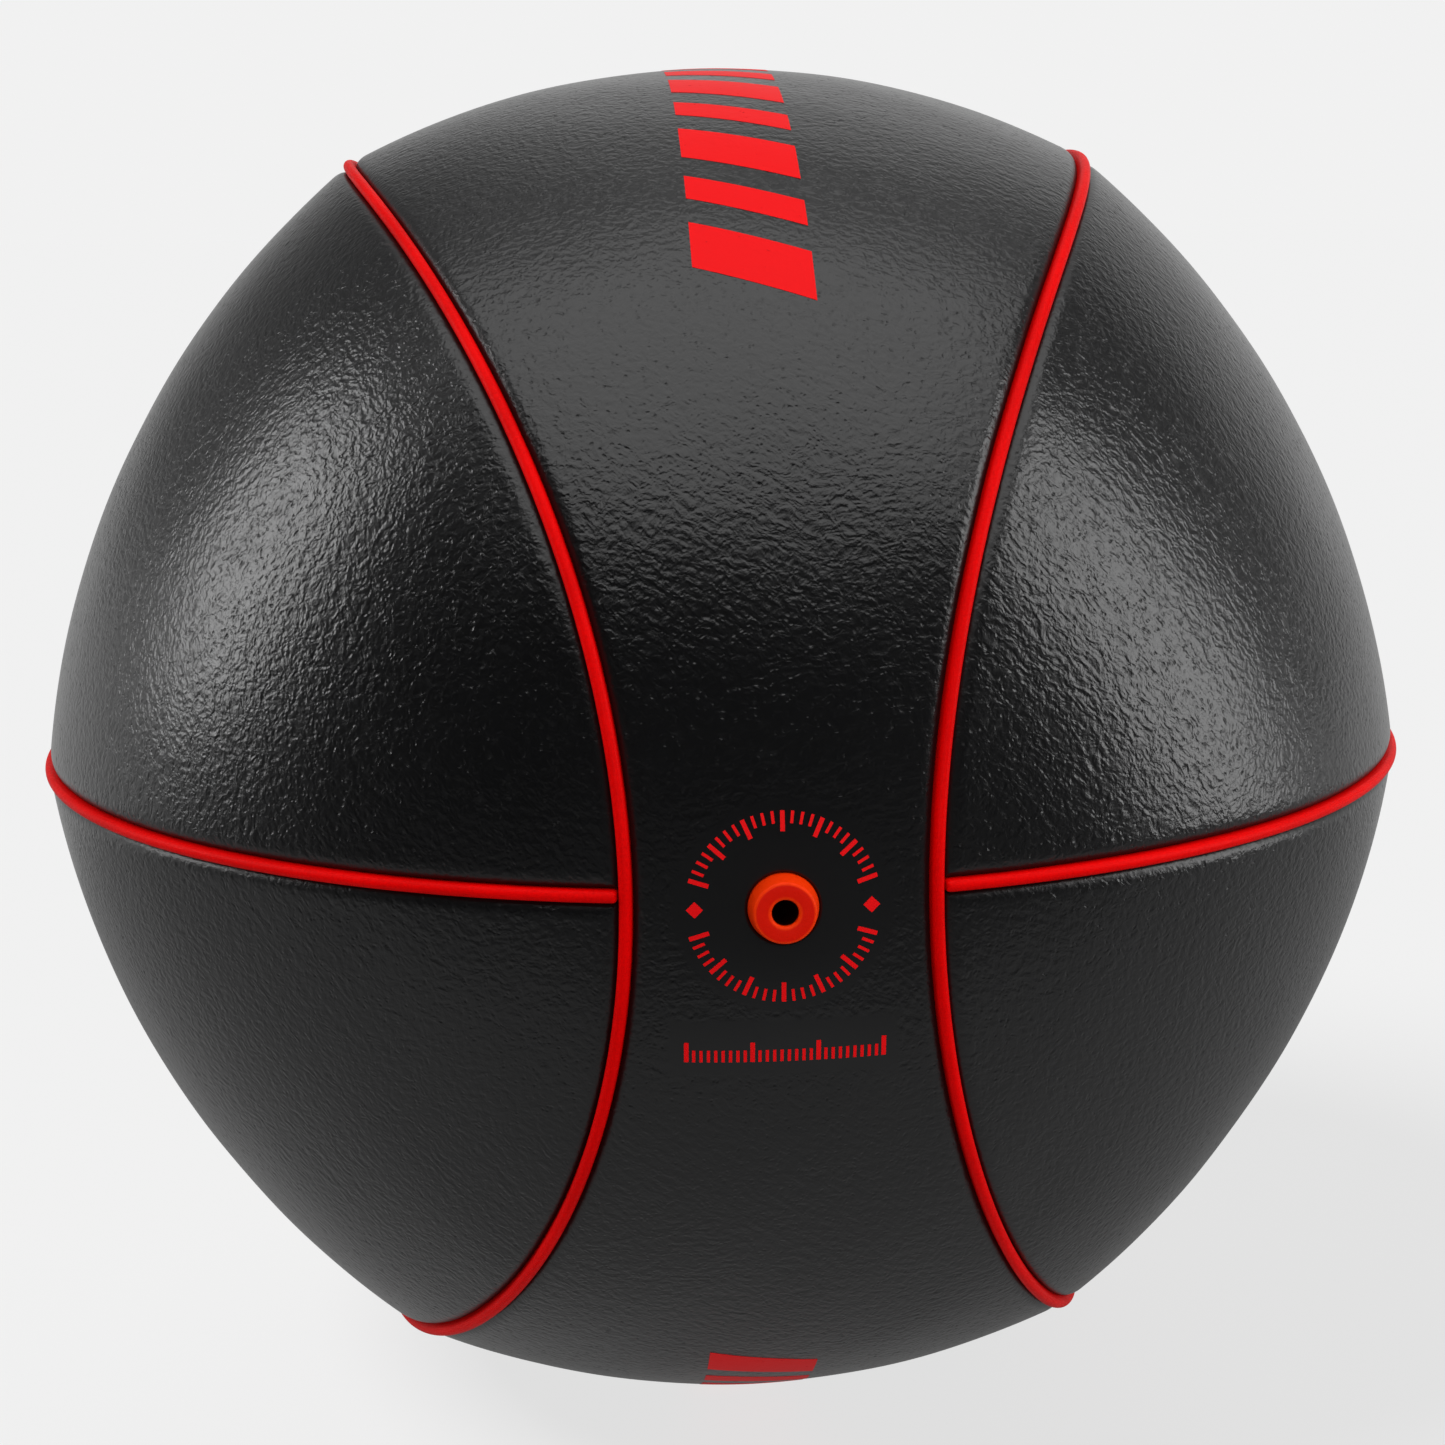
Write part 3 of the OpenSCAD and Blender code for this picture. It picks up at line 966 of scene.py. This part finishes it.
def smooth_places(tree, where):
    """How grained the cover is, and the part of that which the nearest seam accounts for.

    The cover is smooth round the valve and under the marks below it, and half smooth along the seams.
    """
    x, y, z = separated(tree, where)
    ring = remap(tree, from_valve_axis(tree, x, z), *RING_CLEAR)
    beside = remap(tree, math_node(tree, "ABSOLUTE", x), *ROW_CLEAR_X)
    from_row = math_node(tree, "ABSOLUTE", math_node(tree, "SUBTRACT", z, ROW_MIDDLE))
    row = math_node(tree, "MAXIMUM", beside, remap(tree, from_row, *ROW_CLEAR_Z))
    elsewhere = remap(tree, y, *VALVE_SIDE)
    near_valve = math_node(tree, "MAXIMUM", math_node(tree, "MULTIPLY", ring, row), elsewhere)
    seam = add_node(tree, "ShaderNodeAttribute", attribute_name="seam_mm")
    border = remap(tree, seam.outputs["Fac"], *SEAM_BORDER, BORDER_GRAIN, 1.0)
    return math_node(tree, "MULTIPLY", near_valve, border), border


# -------- materials

COVER_DARK = (0.0006, 0.0006, 0.0008, 1)
COVER_LIGHT = (0.0022, 0.0022, 0.0025, 1)
COVER_BUMP = 0.00016
MEAN_GRAIN = 1.18
GRAIN_LOW = 0.63
GRAIN_HIGH = 1.08
RIB_DARK = (0.6, 0.0, 0.0, 1)
RIB_RED = (0.74, 0.0, 0.0, 1)
RIB_BUMP = 0.00004
INK_DARK = (0.5, 0.003, 0.004, 1)
INK_RED = (0.76, 0.005, 0.007, 1)
INK_BUMP = 0.00007
PLUG_DARK = (0.62, 0.006, 0.0, 1)
PLUG_HIGHLIT_ORANGE = (0.82, 0.035, 0.0, 1)
PLUG_HOLE_SHADE = (0.012, 0.0015, 0.001, 1)
PLUG_BUMP = 0.00005
CARCASS_COLOURS = ((0.006, 0.006, 0.007, 1), (0.014, 0.014, 0.016, 1))
BLADDER_COLOURS = ((0.012, 0.012, 0.014, 1), (0.024, 0.024, 0.027, 1))
HOUSING_COLOURS = ((0.02, 0.02, 0.022, 1), (0.035, 0.035, 0.038, 1))
INNER_BUMP = 0.00008
YARN_GAP_SHADE = (0.35, 0.32, 0.25, 1)
YARN_LIGHT = (0.74, 0.71, 0.62, 1)
YARN_BUMP = 0.0004


def cover_material():
    """Black grained rubber: glossier on the grain's tops and duller in its pits. Its colour carries a
    painted sheen, a shade lighter on the tops, and painted shade, darker in the pits, varied in broad
    clouds.
    """
    material, tree, shader = new_material("cover_rubber", Roughness=0.4, IOR=1.5)
    where = object_millimetres(tree)
    grain = leather_height(tree, where)
    grained, border = smooth_places(tree, where)
    raised = math_node(tree, "MULTIPLY", math_node(tree, "SUBTRACT", grain, MEAN_GRAIN), grained)
    tooth = math_node(tree, "MULTIPLY", noise(tree, where, 3.0), 0.03)
    bump(tree, math_node(tree, "ADD", raised, tooth), shader, COVER_BUMP)
    cloud = noise(tree, where, 0.035, detail=3.0)
    tops = remap(tree, grain, GRAIN_LOW, GRAIN_HIGH)
    # Painted sheen on the grain's tops and painted shade in its pits, varied by the broad cloud.
    painted_grain_sheen = math_node(tree, "MULTIPLY", tops, math_node(tree, "ADD", 0.75, cloud))
    two_colours(tree, math_node(tree, "MULTIPLY", painted_grain_sheen, 0.7), COVER_DARK, COVER_LIGHT, shader)
    pits = math_node(tree, "MULTIPLY", math_node(tree, "SUBTRACT", 1.0, tops), grained)
    rough = remap(tree, pits, 0.0, 1.0, 0.26, 0.46, smooth=False)
    rough = math_node(tree, "ADD", rough, math_node(tree, "MULTIPLY", cloud, 0.06))
    rough = math_node(tree, "ADD", rough, remap(tree, border, BORDER_GRAIN, 1.0, 0.1, 0.0))
    set_roughness(tree, rough, shader)
    return material


def rib_material():
    """Red rubber with a faint unevenness of colour and surface."""
    material, tree, shader = new_material("rib_rubber", Roughness=0.5, IOR=1.5, Specular_IOR_Level=0.05)
    where = object_millimetres(tree)
    broad = noise(tree, where, 0.06)
    fine = noise(tree, where, 2.6, detail=3.0)
    share = remap(tree, math_node(tree, "ADD", broad, fine), 0.7, 1.3)
    two_colours(tree, share, RIB_DARK, RIB_RED, shader)
    set_roughness(tree, remap(tree, fine, 0.3, 0.7, 0.58, 0.44), shader)
    bump(tree, fine, shader, RIB_BUMP)
    return material


def ink_material():
    """The print takes on the grain of the rubber below it."""
    material, tree, shader = new_material("print_ink", Roughness=0.5, IOR=1.45, Specular_IOR_Level=0.06)
    where = object_millimetres(tree)
    grain = leather_height(tree, where)
    grained, _ = smooth_places(tree, where)
    bump(tree, math_node(tree, "MULTIPLY", grain, grained), shader, INK_BUMP)
    two_colours(tree, remap(tree, grain, 0.58, 0.88), INK_DARK, INK_RED, shader)
    set_roughness(tree, remap(tree, grain, 0.58, 1.08, 0.6, 0.45), shader)
    return material


def plug_material():
    """Orange valve rubber with a faint mottle: deeper on the flat face, with a painted highlight of
    lighter orange on the face's rounded rims and down the plug's sides, and painted shade darkening the
    lead-in hole.
    """
    material, tree, shader = new_material("plug_rubber", Roughness=0.4, IOR=1.5, Specular_IOR_Level=0.08)
    where = object_millimetres(tree)
    x, y, z = separated(tree, where)
    out = from_valve_axis(tree, x, z)
    at_face = remap(tree, y, -PLUG_FACE, -PLUG_FACE + 0.5, 1.0, 0.0)
    inner_rim = remap(tree, out, 2.0, 2.5, 1.0, 0.0)
    outer_rim = remap(tree, out, 3.75, 4.05)
    rims = math_node(tree, "MAXIMUM", inner_rim, outer_rim)
    face = math_node(tree, "MULTIPLY", at_face, math_node(tree, "SUBTRACT", 1.0, rims))
    fine = noise(tree, where, 1.8, detail=3.0)
    mottle = math_node(tree, "MULTIPLY", fine, 0.16)
    # Painted highlight: the lighter orange goes on the rims and sides, on all but the flat face, less the
    # mottle.
    share = math_node(tree, "SUBTRACT", 1.0, face)
    share = math_node(tree, "SUBTRACT", share, mottle, clamp=True)
    orange = mixed_colour(tree, share, PLUG_DARK, PLUG_HIGHLIT_ORANGE)
    # Painted shade: the lead-in hole turns near black from a little below the face.
    inside = remap(tree, out, LEAD_R + 0.05, LEAD_R + 0.2, 1.0, 0.0)
    below_face = remap(tree, y, -PLUG_FACE + 0.3, -PLUG_FACE + 0.9)
    two_colours(tree, math_node(tree, "MULTIPLY", inside, below_face), orange, PLUG_HOLE_SHADE, shader)
    set_roughness(tree, remap(tree, fine, 0.3, 0.7, 0.5, 0.38), shader)
    bump(tree, fine, shader, PLUG_BUMP)
    return material


def dull_rubber(name, colours, scale, rough):
    """Plain unpolished rubber of an inner part, with fine tooth and cloudy colour."""
    material, tree, shader = new_material(name, Roughness=rough, IOR=1.5)
    where = object_millimetres(tree)
    cloud = noise(tree, where, scale, detail=4.0, rough=0.6)
    two_colours(tree, remap(tree, cloud, 0.3, 0.7), *colours, shader)
    tooth = noise(tree, where, 2.2, detail=3.0)
    set_roughness(tree, remap(tree, tooth, 0.3, 0.7, rough + 0.08, rough - 0.06), shader)
    bump(tree, tooth, shader, INNER_BUMP)
    return material


def yarn_material():
    """Yarn wound round the bladder in two slanting ways, soaked in latex, with painted shade darker
    between the strands.
    """
    material, tree, shader = new_material("winding_yarn", Roughness=0.8)
    where = object_millimetres(tree)
    heights = []
    for angles in ((0.3, 0.5, 0.2), (-0.6, 0.9, 1.3)):
        turned = add_node(tree, "ShaderNodeMapping")
        turned.inputs["Rotation"].default_value = angles
        tree.links.new(where, turned.inputs["Vector"])
        wave = add_node(tree, "ShaderNodeTexWave", in_Scale=0.42, in_Distortion=1.2, in_Detail=2.0)
        wave.bands_direction = "DIAGONAL"
        wire(tree, turned, wave, into="Vector")
        heights.append(wave.outputs["Fac"])
    over = math_node(tree, "MAXIMUM", heights[0], heights[1])
    # Painted shade: the yarn is darker away from the strands' crests.
    two_colours(tree, over, YARN_GAP_SHADE, YARN_LIGHT, shader)
    set_roughness(tree, remap(tree, over, 0.0, 1.0, 0.9, 0.7), shader)
    bump(tree, over, shader, YARN_BUMP)
    return material


def give_material(nodes, material):
    """Puts a material on CAD nodes, whose meshes stay untouched."""
    for name in nodes:
        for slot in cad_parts[name].material_slots:
            slot.link = "OBJECT"
            slot.material = material


# -------- stage, lights and camera

FLOOR_Z = cad_box[0].z
FLOOR_REACH = 6.0
FLOOR_LINES = 24
BACKDROP = 0.88
FLOOR_GREY = 0.2
FLOOR_SUN = 2.2
SUN_WAY = (0.55, 0.2, -0.8)
SUN_WIDTH = 28
SKY_ON_FLOOR = 0.035
# The camera sees a glow that brings the sunlit floor up to the backdrop. The ball sees the others.
FLOOR_GLOW = BACKDROP - FLOOR_GREY * FLOOR_SUN * -SUN_WAY[2] / math.pi - SKY_ON_FLOOR
FLOOR_GLOW_NEAR_BALL = 0.27
FLOOR_GLOW_FRONT = 0.0
FLOOR_GLOW_BEHIND = 0.55
BACK_FADE = (-0.1, 0.3)
NEAR_FADE = (0.2, 0.34)
# What the ball mirrors of the room: almost dark in front, pale behind.
ROOM_FADE = (0.12, 0.75)
ROOM_FRONT = 0.02
ROOM_BEHIND = 0.8
# Dark boards behind the ball at each side: where they stand, and the share of light they leave.
FLAGS = (((-0.54, 0.71, 0.45), 0.3), ((0.74, 0.48, 0.47), 0.8))
FLAG_FADE = (0.84, 0.98)
BALL_CENTRE = Vector((0, 0, 0))


def floor_material():
    """Matt and pale. Its glow is even for the camera, and varies from place to place for the ball."""
    material, tree, shader = new_material("floor_pale", Roughness=1.0, Specular_IOR_Level=0.0)
    shader.inputs["Base Color"].default_value = (FLOOR_GREY, FLOOR_GREY, FLOOR_GREY, 1)
    shader.inputs["Emission Color"].default_value = (1, 1, 1, 1)
    path = add_node(tree, "ShaderNodeLightPath")
    coordinates = add_node(tree, "ShaderNodeTexCoord")
    _, y, _ = separated(tree, coordinates.outputs["Object"])
    squeezed = add_node(tree, "ShaderNodeVectorMath", operation="MULTIPLY")
    squeezed.inputs[1].default_value = (0.5, 1, 0)
    wire(tree, coordinates, squeezed, out="Object")
    away = add_node(tree, "ShaderNodeVectorMath", operation="LENGTH")
    wire(tree, squeezed, away)
    far_glow = remap(tree, y, *BACK_FADE, FLOOR_GLOW_FRONT, FLOOR_GLOW_BEHIND)
    far = remap(tree, away.outputs["Value"], *NEAR_FADE)
    glow = blend_values(tree, far, FLOOR_GLOW_NEAR_BALL, far_glow)
    seen = blend_values(tree, path.outputs["Is Camera Ray"], glow, FLOOR_GLOW)
    tree.links.new(seen, shader.inputs["Emission Strength"])
    return material


def add_floor():
    """A wide pale floor. Its soft glow stands for the even light that a white cove throws back."""
    line = np.linspace(-FLOOR_REACH, FLOOR_REACH, FLOOR_LINES)
    points = [(float(x), float(y), FLOOR_Z) for y in line for x in line]
    faces = []
    for j in range(FLOOR_LINES - 1):
        for i in range(FLOOR_LINES - 1):
            a = j * FLOOR_LINES + i
            faces.append([a, a + 1, a + FLOOR_LINES + 1, a + FLOOR_LINES])
    mesh = bpy.data.meshes.new("floor")
    mesh.from_pydata(points, [], faces)
    floor = bpy.data.objects.new("floor", mesh)
    bpy.context.scene.collection.objects.link(floor)
    mesh.materials.append(floor_material())
    return floor


def add_world():
    """Pale behind the ball for the picture, and a dim studio for what the ball reflects."""
    world = bpy.data.worlds.new("studio")
    bpy.context.scene.world = world
    world.use_nodes = True
    tree = world.node_tree
    background = tree.nodes["Background"]
    coordinates = add_node(tree, "ShaderNodeTexCoord")
    _, y, _ = separated(tree, coordinates.outputs["Generated"])
    room = remap(tree, y, *ROOM_FADE, ROOM_FRONT, ROOM_BEHIND)
    for towards, darkest in FLAGS:
        facing = add_node(tree, "ShaderNodeVectorMath", operation="DOT_PRODUCT")
        facing.inputs[1].default_value = towards
        wire(tree, coordinates, facing, out="Generated")
        shade = remap(tree, facing.outputs["Value"], *FLAG_FADE, 1.0, darkest)
        room = math_node(tree, "MULTIPLY", room, shade)
    path = add_node(tree, "ShaderNodeLightPath")
    seen = blend_values(tree, path.outputs["Is Camera Ray"], room, BACKDROP)
    background.inputs["Color"].default_value = (1, 1, 1, 1)
    tree.links.new(seen, background.inputs["Strength"])


def light_only(lamp, name, objects, state):
    """Keeps a lamp to some objects, or away from them."""
    group = bpy.data.collections.new(name)
    for one in objects:
        group.objects.link(one)
    for member in group.collection_objects:
        member.light_linking.link_state = state
    lamp.light_linking.receiver_collection = group


def add_floor_sun(floor):
    """Lights the floor alone, evenly out to the horizon, so that only the ball's shadow shows on it."""
    light = bpy.data.lights.new("floor_sun", "SUN")
    light.energy = FLOOR_SUN
    light.angle = math.radians(SUN_WIDTH)
    lamp = bpy.data.objects.new("floor_sun", light)
    lamp.rotation_mode = "QUATERNION"
    lamp.rotation_quaternion = Vector(SUN_WAY).to_track_quat("-Z", "Y")
    bpy.context.scene.collection.objects.link(lamp)
    light_only(lamp, "floor_sun_lights", [floor], "INCLUDE")


def add_softbox(floor, name, place, aim, size, brightness, lean=0):
    """A softbox that lights all but the floor. Lean turns its face in its own plane."""
    width, height = size
    light = bpy.data.lights.new(name, "AREA")
    light.shape = "RECTANGLE"
    light.size = width
    light.size_y = height
    light.energy = brightness * math.pi * width * height
    lamp = bpy.data.objects.new(name, light)
    lamp.location = place
    lamp.rotation_mode = "QUATERNION"
    facing = (Vector(aim) - Vector(place)).to_track_quat("-Z", "Y")
    lamp.rotation_quaternion = facing @ Quaternion((0, 0, 1), math.radians(lean))
    bpy.context.scene.collection.objects.link(lamp)
    light_only(lamp, name + "_misses", [floor], "EXCLUDE")
    return lamp


def add_lights(floor):
    below_top = (0.0, -0.5, 0.0)
    add_softbox(floor, "softbox_left", (-1.1, 0.12, 0.44), BALL_CENTRE, (0.32, 0.64), 7.4, lean=-6)
    add_softbox(floor, "softbox_right", (1.14, -0.27, 0.26), BALL_CENTRE, (0.42, 1.3), 5.1, lean=20)
    add_softbox(floor, "softbox_top", (0.0, -0.5, 1.25), below_top, (2.0, 1.5), 1.95)
    # A soft front light that the ball doesn't mirror, so it lifts the red rubber and not the black.
    fill = add_softbox(floor, "fill_front", (0.0, -1.4, 0.1), BALL_CENTRE, (1.6, 1.0), 2.6)
    fill.visible_glossy = False
    add_floor_sun(floor)


CAMERA_AZIMUTH = -4.07
CAMERA_ELEVATION = 12.5
CAMERA_ROLL = -0.8
CAMERA_DISTANCE = 4.0 * RIB_R * MM
CAMERA_SHIFT = (0.0015, 0.0013)
FOCAL_PIXELS = 2620.0
IMAGE_PIXELS = 1445
SENSOR = 36.0


def add_camera():
    camera = bpy.data.cameras.new("camera")
    camera.sensor_width = SENSOR
    camera.lens = FOCAL_PIXELS * SENSOR / IMAGE_PIXELS
    camera.clip_start = 0.01
    camera.clip_end = 50
    camera.shift_x, camera.shift_y = CAMERA_SHIFT
    azimuth, elevation = math.radians(CAMERA_AZIMUTH), math.radians(CAMERA_ELEVATION)
    level = math.cos(elevation)
    back = Vector((math.sin(azimuth) * level, -math.cos(azimuth) * level, math.sin(elevation)))
    view = bpy.data.objects.new("camera", camera)
    view.location = back * CAMERA_DISTANCE
    view.rotation_mode = "QUATERNION"
    upright = (-back).to_track_quat("-Z", "Y")
    view.rotation_quaternion = upright @ Quaternion((0, 0, 1), math.radians(CAMERA_ROLL))
    bpy.context.scene.collection.objects.link(view)
    bpy.context.scene.camera = view


# -------- putting it together

cover = cover_material()
ribs = rib_material()
ink = ink_material()

add_band(cover)
add_side_panels(cover)
add_loop_ribs(ribs)
add_cross_ribs(ribs)
add_plug(plug_material())
add_valve_marks(ink)
add_band_stripes(ink)

carcass_rubber = dull_rubber("carcass_rubber", CARCASS_COLOURS, 0.2, 0.75)
give_material(["carcass_front", "carcass_rear"], carcass_rubber)
give_material(["winding"], yarn_material())
give_material(["bladder", "valve_patch"], dull_rubber("bladder_butyl", BLADDER_COLOURS, 0.1, 0.55))
give_material(["valve_housing"], dull_rubber("housing_rubber", HOUSING_COLOURS, 0.3, 0.5))

ground = add_floor()
add_world()
add_lights(ground)
add_camera()
bpy.context.scene.view_settings.view_transform = "Standard"
